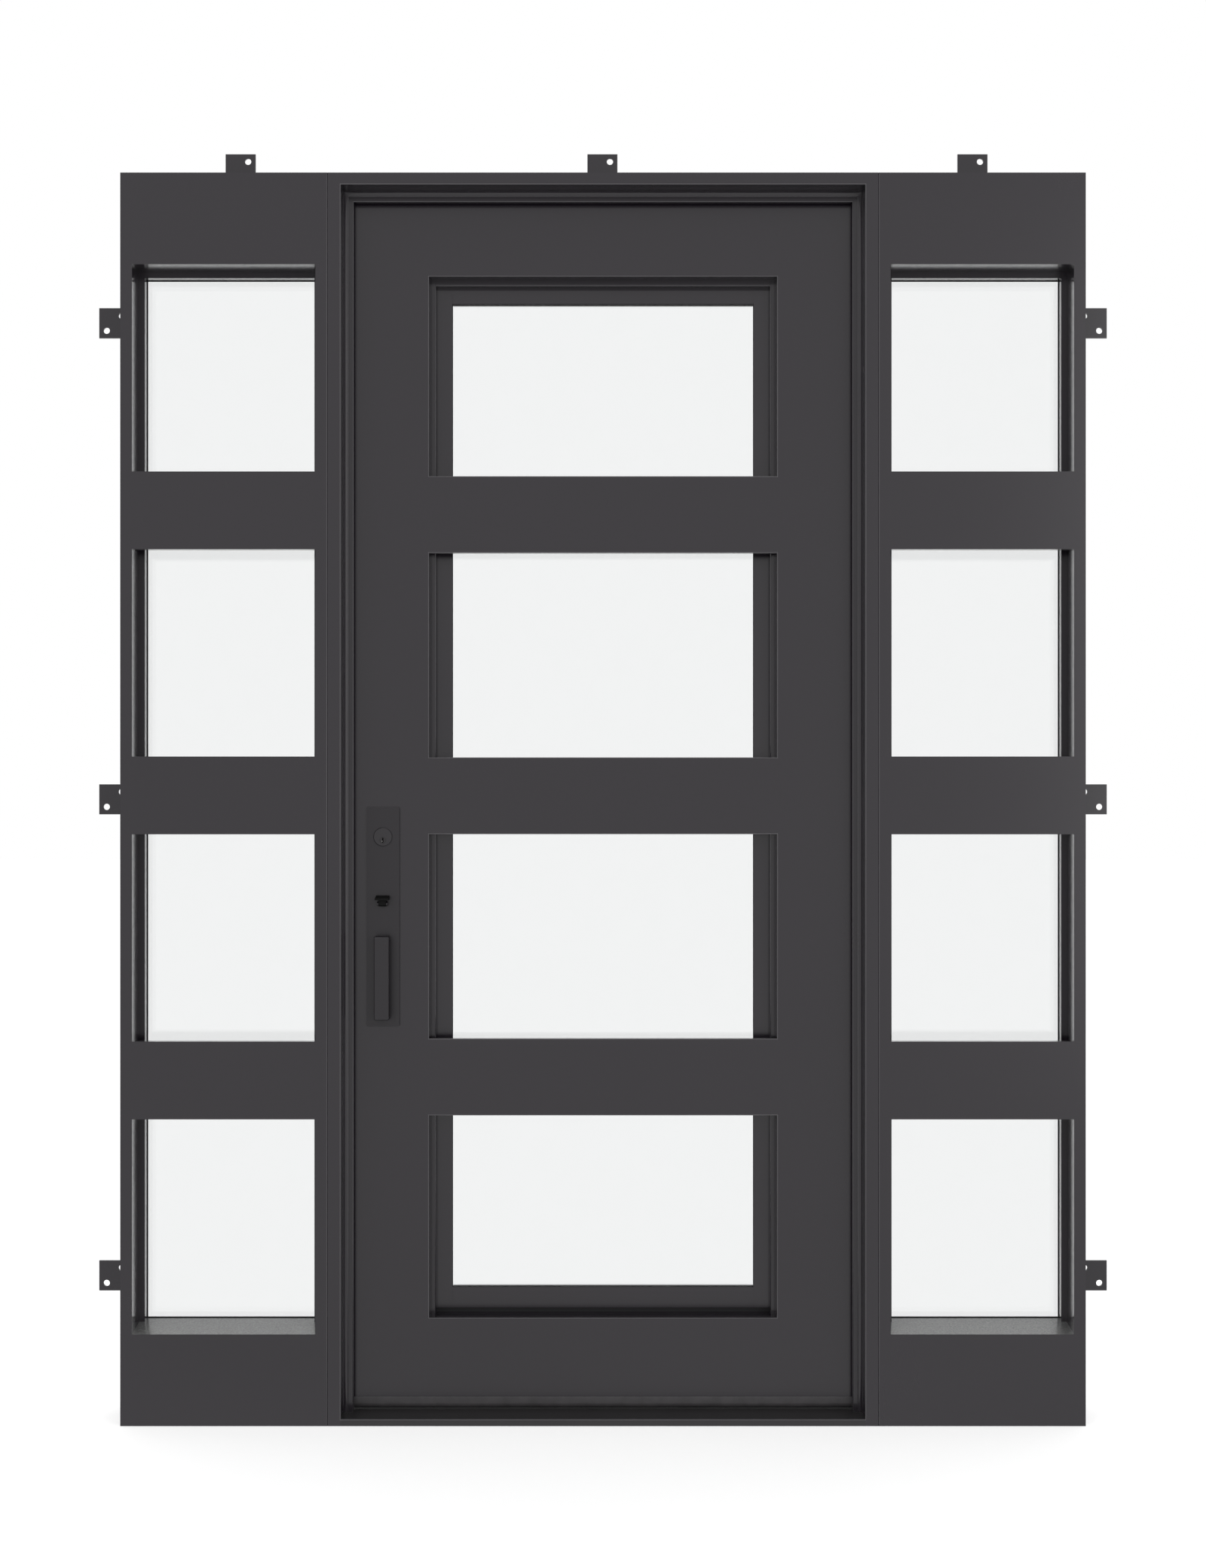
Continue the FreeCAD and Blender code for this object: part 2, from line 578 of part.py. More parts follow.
def fixing_tabs():
    """Flat tabs out from the sides and head, each with two holes on a diagonal."""
    depth = ("tab_front", "tab_front + tab_thickness")

    def tab(name, corners, holes):
        body = doc.addObject("PartDesign::Body", name)

        def draw(sketch):
            outline(sketch, rectangle(*corners))
            for across, up in holes:
                ring(sketch, across, up, "tab_hole_radius")

        pad(body, "XZ_Plane", depth, draw)
        return body

    tabs = []
    for step in (-1, 0, 1):
        middle = f"(unit_height / 2 + ({step}) * (unit_height / 2 - side_tab_inset))"
        corners = (f"{left('outer_edge')} - tab_reach", left("outer_edge"),
                   f"{middle} - tab_width / 2", f"{middle} + tab_width / 2")
        holes = [(f"{corners[0]} + tab_hole_inset", f"{corners[2]} + tab_hole_inset"),
                 (f"{corners[1]} - tab_hole_inset", f"{corners[3]} - tab_hole_inset")]
        side_tab = tab(f"left_tab_{step + 2}", corners, holes)
        tabs += [side_tab, mirrored(f"right_tab_{step + 2}", side_tab)]
    head_tabs = {"left": f"({left('outer_edge')} + left_head_tab_inset)",
                 "middle": left("middle_head_tab_offset"),
                 "right": "(outer_edge - right_head_tab_inset)"}
    for name, middle in head_tabs.items():
        corners = (f"{middle} - tab_width / 2", f"{middle} + tab_width / 2",
                   "unit_height", "unit_height + tab_reach")
        holes = [(f"{corners[0]} + tab_hole_inset", f"{corners[2]} + tab_hole_inset"),
                 (f"{corners[1]} - tab_hole_inset", f"{corners[3]} - tab_hole_inset")]
        tabs.append(tab(f"head_tab_{name}", corners, holes))
    keep_group("fixing_tabs", tabs)


def leaf():
    """Stiles, rails and bars of the leaf, its glass frame behind the bars, and the sweep."""
    height = ("leaf_bottom", "leaf_top")
    depth = ("leaf_front", "leaf_back")

    def bevel_at(place):
        """The lock edge, which slopes in towards the front so that the leaf clears as it swings."""
        return f"({left('leaf_edge')} + edge_bevel * (leaf_back - ({place})) / leaf_thickness)"

    lock_stile = prism("lock_stile", "XY_Plane", height, [
        (left("leaf_edge"), "leaf_back"), (bevel_at("leaf_front"), "leaf_front"),
        (left("lite_edge"), "leaf_front"), (left("lite_edge"), "leaf_back")])

    def edge_section(depth_in):
        """The plate on the bevelled edge, as seen from above, or a bolt behind it."""
        return [
            (bevel_at("edge_plate_near"), "edge_plate_near"),
            (f"{bevel_at('edge_plate_near')} + {depth_in}", "edge_plate_near"),
            (f"{bevel_at('edge_plate_far')} + {depth_in}", "edge_plate_far"),
            (bevel_at("edge_plate_far"), "edge_plate_far")]

    edge_span = ("edge_plate_low", "edge_plate_high")
    edge_plate = prism("edge_plate", "XY_Plane", edge_span, edge_section("edge_plate_thickness"))
    pocket(lock_stile, "XY_Plane", edge_span,
           lambda sketch: outline(sketch, edge_section("edge_plate_thickness")), "edge_plate_seat")
    drawn_back = (left("leaf_edge"), f"{left('leaf_edge')} + edge_bevel + bolt_length")
    bolts = []
    for name, (middle, rise) in BOLTS.items():
        window = bolt_window(name, "bolt_gap")
        for body in (lock_stile, edge_plate):
            pocket(body, "YZ_Plane", drawn_back, lambda sketch: outline(sketch, window), f"{name}_window")
        low, high = f"({middle} - {rise} / 2)", f"({middle} + {rise} / 2)"
        near, far = "(leaf_middle - bolt_thickness / 2)", "(leaf_middle + bolt_thickness / 2)"
        bolts.append(prism(f"{name}_end", "XY_Plane", (low, high), [
            (bevel_at(near), near), (f"{drawn_back[1]} - bolt_gap", near),
            (f"{drawn_back[1]} - bolt_gap", far), (bevel_at(far), far)]))
    keep("leaf_lock_stile", lock_stile)
    keep("lock_edge_plate", edge_plate)
    keep_group("latch_and_bolt", bolts)
    keep("leaf_hinge_stile", box("leaf_hinge_stile", ("lite_edge", "leaf_edge"), depth, height))

    between = (left("lite_edge"), "lite_edge")
    keep("leaf_top_rail", box("leaf_top_rail_block", between, depth, ("lite_top", "leaf_top")))
    keep("leaf_bottom_rail", box("leaf_bottom_rail_block", between, depth, ("leaf_bottom", "lite_bottom")))
    rows = []
    for step in (-1, 0, 1):
        middle = f"((lite_bottom + lite_top) / 2 + leaf_bar_raise + ({step}) * leaf_bar_spacing)"
        rows.append(box(f"leaf_bar_{step + 2}", between, ("leaf_front", "leaf_front + leaf_bar_thickness"),
                        (f"{middle} - bar_height / 2", f"{middle} + bar_height / 2")))
    keep_group("leaf_bars", rows)

    # Strips at the sides and top that the glass frame closes against.
    strip_depth = ("strip_front", "sash_front")
    side_strip = box("strip_left", (left("lite_edge"), f"{left('lite_edge')} + strip_width"), strip_depth,
                     ("lite_bottom", "lite_top"))
    top_strip = box("strip_top", (f"{left('lite_edge')} + strip_width + joint_line",
                                  "lite_edge - strip_width - joint_line"), strip_depth,
                    ("lite_top - strip_width", "lite_top"))
    keep_group("glass_stop_strips", [side_strip, mirrored("strip_right", side_strip), top_strip])

    # The glass frame's members are grooved for the glass.
    def member(edge, inner, into):
        """into is the sign that leads from the inner edge back into the member."""
        return [
            (edge, "sash_front"), (inner, "sash_front"), (inner, "groove_front"),
            (f"{inner} {into} groove_depth", "groove_front"), (f"{inner} {into} groove_depth", "groove_back"),
            (inner, "groove_back"), (inner, "sash_back"), (edge, "sash_back")]

    def rail(name, edge, inner, into):
        return prism(name, "YZ_Plane", (f"{left('sash_inner')} + joint_line", "sash_inner - joint_line"),
                     turned(member(edge, inner, into)))

    side_member = prism("sash_left", "XY_Plane", ("sash_bottom", "sash_top"),
                        member(left("sash_edge"), left("sash_inner"), "-"))
    keep_group("glass_frame", [
        side_member, mirrored("sash_right", side_member),
        rail("sash_top_rail", "sash_top", "pane_top", "+"),
        rail("sash_bottom_rail", "sash_bottom", "pane_bottom", "-")])
    keep("glass_frame_seal", box("glass_frame_seal", between, ("sash_front + sash_seal_setback", "sash_back"),
                                 ("lite_bottom", "sash_bottom")))
    pane_edge = "(sash_inner + groove_depth - joint_line)"
    keep("leaf_glass", box("leaf_glass_block", (left(pane_edge), pane_edge), ("groove_front", "groove_back"),
                           ("pane_bottom - groove_depth", "pane_top + groove_depth - joint_line")))

    keep("door_sweep", prism("door_sweep", "YZ_Plane", (f"{left('leaf_edge')} + edge_bevel", "leaf_edge"), [
        ("leaf_front", "leaf_bottom"), ("leaf_front", "sweep_bottom + sweep_round"),
        ("leaf_front + sweep_round", "sweep_bottom",
         "leaf_front + sweep_round", "sweep_bottom + sweep_round", 1),
        ("leaf_back", "sweep_bottom"), ("leaf_back", "leaf_bottom")]))


def lock_set():
    """Outside plate with cylinder, thumb piece and pull grip, and the plainer inside set."""
    centre = left("leaf_edge - lock_inset")
    across = (f"{centre} - plate_width / 2", f"{centre} + plate_width / 2")

    def through_edges(edge):
        """The edges that run through the plate, from front to back."""
        direction = edge.tangentAt(edge.FirstParameter)
        return abs(direction.y) > abs(direction.x) + abs(direction.z)

    def plate(name, span):
        body = prism(name, "XZ_Plane", span, rectangle(*across, "plate_bottom", "plate_top"))
        ease(body, "Fillet", "plate_corner", through_edges, "corners")
        return body

    outer = plate("outer_lock_plate", ("plate_face", "leaf_front"))
    lug_inner = "(web_width / 2 + lug_side_gap)"
    lug_outer = f"({lug_inner} + lug_thickness)"

    def lug(sketch):
        outline(sketch, [
            ("plate_face", "thumb_height - lug_radius"), ("plate_face", "thumb_height + lug_radius"),
            ("thumb_pivot", "thumb_height + lug_radius"),
            ("thumb_pivot", "thumb_height - lug_radius", "thumb_pivot", "thumb_height", 1)])

    pad(outer, "YZ_Plane", (f"{centre} - {lug_outer}", f"{centre} - {lug_inner}"), lug, "left_lug")
    pad(outer, "YZ_Plane", (f"{centre} + {lug_inner}", f"{centre} + {lug_outer}"), lug, "right_lug")
    pad(outer, "YZ_Plane", (f"{centre} - {lug_outer}", f"{centre} + {lug_outer}"),
        lambda sketch: ring(sketch, "thumb_pivot", "thumb_height", "thumb_pin_radius"), "thumb_pin")
    keep("outer_lock_plate", outer)

    cylinder = doc.addObject("PartDesign::Body", "cylinder_body")
    pad(cylinder, "XZ_Plane", ("plate_face - cylinder_reach", "plate_face"),
        lambda sketch: ring(sketch, centre, "cylinder_height", "cylinder_radius"))

    def front_rim(edge):
        return abs(edge.CenterOfMass.y - value("plate_face - cylinder_reach")) < SAME_PLACE

    ease(cylinder, "Chamfer", "collar_bevel", front_rim, "rim")
    pocket(cylinder, "XZ_Plane", ("plate_face - cylinder_reach", "plate_face"),
           lambda sketch: ring(sketch, centre, "plug_height", "plug_radius + plug_clearance"), "plug_bore")
    keep("lock_cylinder", cylinder)

    plug = doc.addObject("PartDesign::Body", "plug_body")
    pad(plug, "XZ_Plane", ("plate_face - cylinder_reach", "plate_face - plug_back_gap"),
        lambda sketch: ring(sketch, centre, "plug_height", "plug_radius"))
    pocket(plug, "XZ_Plane", ("plate_face - cylinder_reach", "plate_face - cylinder_reach + keyway_depth"),
           lambda sketch: outline(sketch, rectangle(
               f"{centre} - keyway_width / 2", f"{centre} + keyway_width / 2",
               "plug_height - keyway_height / 2", "plug_height + keyway_height / 2")), "keyway")
    keep("key_plug", plug)

    # The pull grip is a bent bar with two feet on the plate.
    grip = prism("outer_grip", "YZ_Plane", (f"{centre} - grip_width / 2", f"{centre} + grip_width / 2"), [
        ("plate_face", "grip_top"), ("grip_front + grip_bend", "grip_top"),
        ("grip_front", "grip_top - grip_bend", "grip_front + grip_bend", "grip_top - grip_bend", 1),
        ("grip_front", "grip_bottom + grip_bend"),
        ("grip_front + grip_bend", "grip_bottom", "grip_front + grip_bend", "grip_bottom + grip_bend", 1),
        ("plate_face", "grip_bottom"), ("plate_face", "grip_bottom + grip_foot"),
        ("grip_inside + grip_inner_bend", "grip_bottom + grip_foot"),
        ("grip_inside", "grip_bottom + grip_foot + grip_inner_bend",
         "grip_inside + grip_inner_bend", "grip_bottom + grip_foot + grip_inner_bend", -1),
        ("grip_inside", "grip_top - grip_foot - grip_inner_bend"),
        ("grip_inside + grip_inner_bend", "grip_top - grip_foot",
         "grip_inside + grip_inner_bend", "grip_top - grip_foot - grip_inner_bend", -1),
        ("plate_face", "grip_top - grip_foot")])

    def outer_edges(edge):
        """The edges along both flanks, round the outside of the bends."""
        middle = edge.CenterOfMass
        flank = abs(abs(middle.x - value(centre)) - value("grip_width / 2")) < SAME_PLACE
        lowest = value("grip_bottom + grip_foot") - SAME_PLACE
        highest = value("grip_top - grip_foot") + SAME_PLACE
        inside = middle.y > value("grip_inside") - SAME_PLACE and lowest < middle.z < highest
        return flank and not inside and middle.y < value("plate_face") - SAME_PLACE

    ease(grip, "Chamfer", "grip_ease", outer_edges, "eased_edges")
    keep("outer_pull_grip", grip)

    # The thumb piece is a paddle that slopes down to the front, on a web that ends in an eye.
    paddle_under = "(thumb_height + thumb_lift)"
    paddle_span = (f"{centre} - thumb_width / 2", f"{centre} + thumb_width / 2")
    thumb = prism("thumb_paddle", "YZ_Plane", paddle_span, [
        ("plate_face - thumb_rear", paddle_under),
        ("plate_face - thumb_rear", f"{paddle_under} + thumb_rear_rise"),
        ("plate_face - thumb_reach", f"{paddle_under} + thumb_front_rise"),
        ("plate_face - thumb_reach", paddle_under)])

    def round_the_top(edge):
        return all(vertex.Z > value(paddle_under) + SAME_PLACE for vertex in edge.Vertexes)

    ease(thumb, "Chamfer", "thumb_ease", round_the_top, "eased_top")
    web_span = (f"{centre} - web_width / 2", f"{centre} + web_width / 2")
    pad(thumb, "YZ_Plane", web_span, lambda sketch: outline(sketch, [
        ("thumb_pivot + web_radius", paddle_under),
        ("thumb_pivot - web_radius", paddle_under),
        ("thumb_pivot - web_radius", "thumb_height"),
        ("thumb_pivot + web_radius", "thumb_height", "thumb_pivot", "thumb_height", 1)]), "web")
    pocket(thumb, "YZ_Plane", web_span, lambda sketch: ring(
        sketch, "thumb_pivot", "thumb_height", "thumb_pin_radius + pin_clearance"), "pin_bore")
    keep("thumb_piece", thumb)

    keep("inner_lock_plate", plate("inner_lock_plate", ("leaf_back", "inner_plate_face")))
    keep("inner_pull_grip", mirrored("inner_pull_grip", grip, "y", "leaf_middle"))
    turn = doc.addObject("PartDesign::Body", "turn_body")
    pad(turn, "XZ_Plane", ("inner_plate_face", "inner_plate_face + turn_rose_reach"),
        lambda sketch: ring(sketch, centre, "cylinder_height", "turn_rose_radius"))
    bow = "(turn_length / 2 - turn_width / 2)"
    pad(turn, "XZ_Plane", ("inner_plate_face", "inner_plate_face + turn_rose_reach + turn_reach"),
        lambda sketch: outline(sketch, [
            (f"{centre} + turn_width / 2", f"cylinder_height + {bow}"),
            (f"{centre} - turn_width / 2", f"cylinder_height + {bow}", centre, f"cylinder_height + {bow}", 1),
            (f"{centre} - turn_width / 2", f"cylinder_height - {bow}"),
            (f"{centre} + turn_width / 2", f"cylinder_height - {bow}",
             centre, f"cylinder_height - {bow}", 1)]), "turn_grip")
    keep("inner_turn", turn)


def hinges():
    """Three butt hinges at the back of the right jamb, with interleaved knuckles on a pin."""
    def hinge_plate(name, middle, across, own):
        """One plate of a hinge, with the knuckles that are numbered in own."""
        low = f"({middle} - hinge_height / 2)"
        body = prism(name, "XY_Plane", (low, f"{low} + hinge_height"), rectangle(
            *across, "leaf_back - hinge_plate_width", "hinge_back - barrel_radius - plate_barrel_gap"))
        for index in own:
            span = (f"{low} + {index} * hinge_height / {KNUCKLES} + barrel_gap / 2",
                    f"{low} + {index + 1} * hinge_height / {KNUCKLES} - barrel_gap / 2")
            pad(body, "XY_Plane", span, lambda sketch: outline(sketch, rectangle(
                *across, "hinge_back - barrel_radius - plate_barrel_gap * 2", "hinge_back")), f"arm_{index}")
            pad(body, "XY_Plane", span, lambda sketch: ring(
                sketch, "hinge_across", "hinge_back", "barrel_radius"), f"knuckle_{index}")
        pocket(body, "XY_Plane", (low, f"{low} + hinge_height"), lambda sketch: ring(
            sketch, "hinge_across", "hinge_back", "hinge_pin_radius + pin_clearance"), "pin_bore")
        return body

    def hinge_pin(name, middle):
        body = doc.addObject("PartDesign::Body", name)
        low, high = f"({middle} - hinge_height / 2)", f"({middle} + hinge_height / 2 - barrel_gap / 2)"
        pad(body, "XY_Plane", (low, high), lambda sketch: ring(
            sketch, "hinge_across", "hinge_back", "hinge_pin_radius"), "shaft")
        pad(body, "XY_Plane", (high, f"{high} + pin_head_height"), lambda sketch: ring(
            sketch, "hinge_across", "hinge_back", "pin_head_radius"), "head")
        return body

    heights = {"bottom": "bottom_hinge", "middle": "((bottom_hinge + top_hinge) / 2)", "top": "top_hinge"}
    jamb_side = ("opening_edge - hinge_plate_thickness", "opening_edge")
    leaf_side = ("leaf_edge", "leaf_edge + hinge_plate_thickness")
    jamb_plates, leaf_plates, pins = [], [], []
    for name, middle in heights.items():
        jamb_plates.append(hinge_plate(f"{name}_jamb_plate", middle, jamb_side, range(0, KNUCKLES, 2)))
        leaf_plates.append(hinge_plate(f"{name}_leaf_plate", middle, leaf_side, range(1, KNUCKLES, 2)))
        pins.append(hinge_pin(f"{name}_pin", middle))
    keep_group("hinge_jamb_plates", jamb_plates)
    keep_group("hinge_leaf_plates", leaf_plates)
    keep_group("hinge_pins", pins)


def write_parts():
    """Checks every object, then writes each sub-part to its own file."""
    doc.recompute()
    for item in doc.Objects:
        if "Invalid" in item.State or "Error" in item.State:
            raise RuntimeError(f"{item.Name} failed: {item.State}")
    for name, piece in nodes.items():
        if piece.Shape.isNull() or not piece.Shape.isValid():
            raise RuntimeError(f"{name} has no valid shape")
    os.makedirs("parts", exist_ok=True)
    for name, piece in nodes.items():
        piece.Shape.exportStep(f"parts/{name}.step")


frame()
sidelight()
fixing_tabs()
leaf()
lock_set()
hinges()
write_parts()
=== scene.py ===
import math

import bmesh
import bpy
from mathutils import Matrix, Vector


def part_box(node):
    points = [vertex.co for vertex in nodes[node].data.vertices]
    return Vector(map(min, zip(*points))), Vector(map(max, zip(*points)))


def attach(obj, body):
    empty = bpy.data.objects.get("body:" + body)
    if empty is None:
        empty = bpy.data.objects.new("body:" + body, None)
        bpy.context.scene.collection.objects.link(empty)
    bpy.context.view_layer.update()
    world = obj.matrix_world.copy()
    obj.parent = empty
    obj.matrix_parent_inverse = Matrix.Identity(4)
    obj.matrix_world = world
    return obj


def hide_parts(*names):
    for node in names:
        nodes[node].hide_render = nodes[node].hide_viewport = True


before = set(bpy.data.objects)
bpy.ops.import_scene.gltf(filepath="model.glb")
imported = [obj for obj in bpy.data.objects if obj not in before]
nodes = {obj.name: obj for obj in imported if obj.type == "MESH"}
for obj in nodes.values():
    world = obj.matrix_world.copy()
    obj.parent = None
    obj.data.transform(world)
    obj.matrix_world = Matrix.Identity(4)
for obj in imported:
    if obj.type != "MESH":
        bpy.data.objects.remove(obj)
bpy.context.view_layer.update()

# A charcoal entrance door between two sidelights. Metres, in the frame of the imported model:
# X runs to the right, the outside face looks towards -Y, and Z is up.

MM = 0.001


# Camera: level and square on to the front, as in the photograph.
PHOTO_HEIGHT = 2080
HORIZON_ROW = 1060.35
METRES_PER_PIXEL = 1.2489 * MM
CAMERA_HEIGHT = 1.0385
CAMERA_DISTANCE = 3.2
SENSOR = 36.0


def make_camera():
    """The scale holds on the frame's front face, CAMERA_DISTANCE away."""
    camera = bpy.data.cameras.new("camera")
    camera.sensor_width = SENSOR
    camera.lens = SENSOR * CAMERA_DISTANCE / (METRES_PER_PIXEL * PHOTO_HEIGHT)
    camera.shift_y = (HORIZON_ROW - PHOTO_HEIGHT / 2) / PHOTO_HEIGHT
    holder = bpy.data.objects.new("camera", camera)
    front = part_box("frame_head")[0].y
    holder.location = (0, front - CAMERA_DISTANCE, CAMERA_HEIGHT)
    holder.rotation_euler = (math.pi / 2, 0, 0)
    bpy.context.scene.collection.objects.link(holder)
    bpy.context.scene.camera = holder


# Node trees for materials and for the world.
# A noise keeps to about NOISE_LOW to NOISE_HIGH. A face counts as upright while its normal rises by
# less than STEEP, and as looking up from LEVEL on.
NOISE_LOW, NOISE_HIGH = 0.3, 0.7
STEEP, LEVEL = 0.6, 0.8


class Tree:
    """Short calls for making and linking the nodes of one material or of the world."""

    def __init__(self, owner):
        owner.use_nodes = True
        self.nodes, self.links = owner.node_tree.nodes, owner.node_tree.links
        self.nodes.clear()

    def add(self, kind, **settings):
        """Adds a node. A setting whose name is one of its inputs is a value or a link to it."""
        node = self.nodes.new(kind)
        for name, setting in settings.items():
            if hasattr(node, name):
                setattr(node, name, setting)
            else:
                self.put(node.inputs[name.replace("_", " ")], setting)
        return node

    def put(self, socket, setting):
        """Links another socket to this one, or gives it a value."""
        if isinstance(setting, bpy.types.NodeSocket):
            self.links.new(setting, socket)
        else:
            socket.default_value = setting

    def math(self, operation, *terms):
        node = self.add("ShaderNodeMath", operation=operation)
        for socket, term in zip(node.inputs, terms):
            self.put(socket, term)
        return node.outputs[0]

    def ramp(self, value, low, high, to_low=0.0, to_high=1.0):
        """Runs from to_low to to_high as the value runs from low to high."""
        return self.add("ShaderNodeMapRange", Value=value, From_Min=low, From_Max=high,
                        To_Min=to_low, To_Max=to_high).outputs[0]

    def noise(self, scale, detail, roughness=0.5, stretch=(1, 1, 1)):
        """Noise with scale features to the metre, fixed to the object."""
        place = self.add("ShaderNodeTexCoord").outputs["Object"]
        mapped = self.add("ShaderNodeMapping", Vector=place, Scale=stretch).outputs[0]
        return self.add("ShaderNodeTexNoise", Vector=mapped, Scale=scale, Detail=detail,
                        Roughness=roughness).outputs[0]

    def spread(self, noise, low, high):
        """A noise set between two values."""
        return self.ramp(noise, NOISE_LOW, NOISE_HIGH, low, high)

    def about(self, noise, middle, reach):
        """A noise set about a middle value, by reach to each side."""
        return self.spread(noise, middle - reach, middle + reach)

    def mix(self, share, first, second):
        """A colour that goes from first to second as share runs from 0 to 1."""
        node = self.add("ShaderNodeMix", data_type="RGBA")
        self.put(node.inputs["Factor"], share)
        colours = [item for item in node.inputs if item.type == "RGBA"]
        for name, colour in (("A", first), ("B", second)):
            self.put([item for item in colours if item.name == name][0], colour)
        return [item for item in node.outputs if item.type == "RGBA"][0]

    def tint(self, colour, noise, low, high):
        """The colour, between low times it and high times it as the noise goes."""
        first, second = (tuple(min(channel * factor, 1) for channel in colour) + (1,)
                         for factor in (low, high))
        return self.mix(self.spread(noise, 0, 1), first, second)

    def facing_up(self):
        """1 on faces that look up, and 0 on upright ones."""
        normal = self.add("ShaderNodeTexCoord").outputs["Normal"]
        upwards = self.add("ShaderNodeSeparateXYZ", Vector=normal).outputs["Z"]
        return self.ramp(upwards, STEEP, LEVEL)

    def bump(self, height, strength, depth):
        return self.add("ShaderNodeBump", Height=height, Strength=strength, Distance=depth).outputs[0]

    def seen_by(self, *kinds):
        """1 for rays of these kinds, and 0 for all others."""
        path = self.add("ShaderNodeLightPath")
        found, *others = (path.outputs[f"Is {kind} Ray"] for kind in kinds)
        for ray in others:
            found = self.math("MAXIMUM", found, ray)
        return found

    def join(self, kind, first, second, **settings):
        """The sum or the mix of two shaders."""
        node = self.add(kind, **settings)
        shaders = [item for item in node.inputs if item.type == "SHADER"]
        self.put(shaders[0], first)
        self.put(shaders[1], second)
        return node.outputs[0]


def material(name, draw):
    """A material whose nodes draw makes: it returns the settings of the Principled shader."""
    made = bpy.data.materials.new(name)
    tree = Tree(made)
    shader = tree.add("ShaderNodeBsdfPrincipled", **draw(tree))
    tree.add("ShaderNodeOutputMaterial", Surface=shader.outputs[0])
    return made


LACQUER_IOR = 1.28
LACQUER_ROUGHNESS = 0.15


def powder_coat(colour, roughness, specular=0.5, ledge_sheen=None, lacquer=0.0):
    """Baked paint: a fine pebbled skin, slow drifts of tone and sheen, and a few dull rubs.
    A ledge colour, where one is given, is painted in fine speckles on faces that look up: a painted
    reflection of the bright surroundings.
    Lacquer is the share of a thin clear skin that shines at a low angle."""
    def draw(tree):
        skin = tree.noise(scale=420, detail=3)
        drift = tree.noise(scale=3.2, detail=2)
        rub = tree.noise(scale=26, detail=4, roughness=0.6, stretch=(1, 1, 0.35))
        paint = tree.tint(colour, drift, low=0.975, high=1.03)
        # Painted reflection: faces that look up take the pale ledge colour in fine speckles.
        if ledge_sheen:
            sheen_speckles = tree.noise(scale=330, detail=3, roughness=0.7)
            paint = tree.mix(tree.facing_up(), paint, tree.tint(ledge_sheen, sheen_speckles, low=0.72, high=1.28))
        dullness = tree.about(drift, roughness, reach=0.01)
        return {
            "Base_Color": paint,
            "Roughness": tree.math("ADD", tree.spread(rub, low=-0.006, high=0.008), dullness),
            "Specular_IOR_Level": specular,
            "Coat_Weight": lacquer,
            "Coat_IOR": LACQUER_IOR,
            "Coat_Roughness": LACQUER_ROUGHNESS,
            "Normal": tree.bump(skin, strength=0.16, depth=0.10 * MM)}
    return draw


def brushed_steel(colour, roughness, stretch):
    """Steel with fine brush lines, along the axis that stretch draws them out on."""
    def draw(tree):
        lines = tree.noise(scale=900, detail=2, stretch=stretch)
        stain = tree.noise(scale=30, detail=3)
        return {
            "Base_Color": tree.tint(colour, stain, low=0.9, high=1.08),
            "Metallic": 1.0,
            "Roughness": tree.about(lines, roughness, reach=0.06),
            "Normal": tree.bump(lines, strength=0.3, depth=0.05 * MM)}
    return draw


def rubber(colour, roughness=0.68, specular=0.35):
    """Moulded rubber or plastic with a fine open grain and pale dust."""
    def draw(tree):
        grain = tree.noise(scale=1400, detail=3)
        dust = tree.noise(scale=40, detail=4, roughness=0.6)
        return {
            "Base_Color": tree.tint(colour, dust, low=0.9, high=1.25),
            "Roughness": tree.about(dust, roughness, reach=0.06),
            "Specular_IOR_Level": specular,
            "Normal": tree.bump(grain, strength=0.25, depth=0.06 * MM)}
    return draw


def clear_glass(colour):
    """Float glass with a faint waviness, and a film of wear that dulls its shine here and there."""
    def draw(tree):
        wave = tree.noise(scale=5, detail=1)
        film = tree.noise(scale=18, detail=5, roughness=0.65)
        return {
            "Base_Color": tree.tint(colour, film, low=0.997, high=1.0),
            "Roughness": tree.spread(film, low=0.0, high=0.006),
            "Transmission_Weight": 1.0,
            "IOR": 1.45,
            "Normal": tree.bump(wave, strength=0.05, depth=0.3 * MM)}
    return draw


CHARCOAL = (0.0140, 0.0106, 0.0156)
# A lighter charcoal for the rolled lips: a painted highlight along the edges.
EDGE_HIGHLIGHT = (0.062, 0.058, 0.064)
# Pale colour for the faces that look up on the sloped sills: a painted reflection.
SILL_SHEEN = (0.172, 0.174, 0.172)
LOCK_BLACK = (0.0120, 0.0095, 0.0130)
PALE_GLASS = (0.94, 0.945, 0.945)


def door_paint(colour, ledge_sheen=None):
    """The lacquered coat that the frame, the leaf and the tabs share."""
    return powder_coat(colour, roughness=0.26, specular=0.38, ledge_sheen=ledge_sheen, lacquer=1.0)
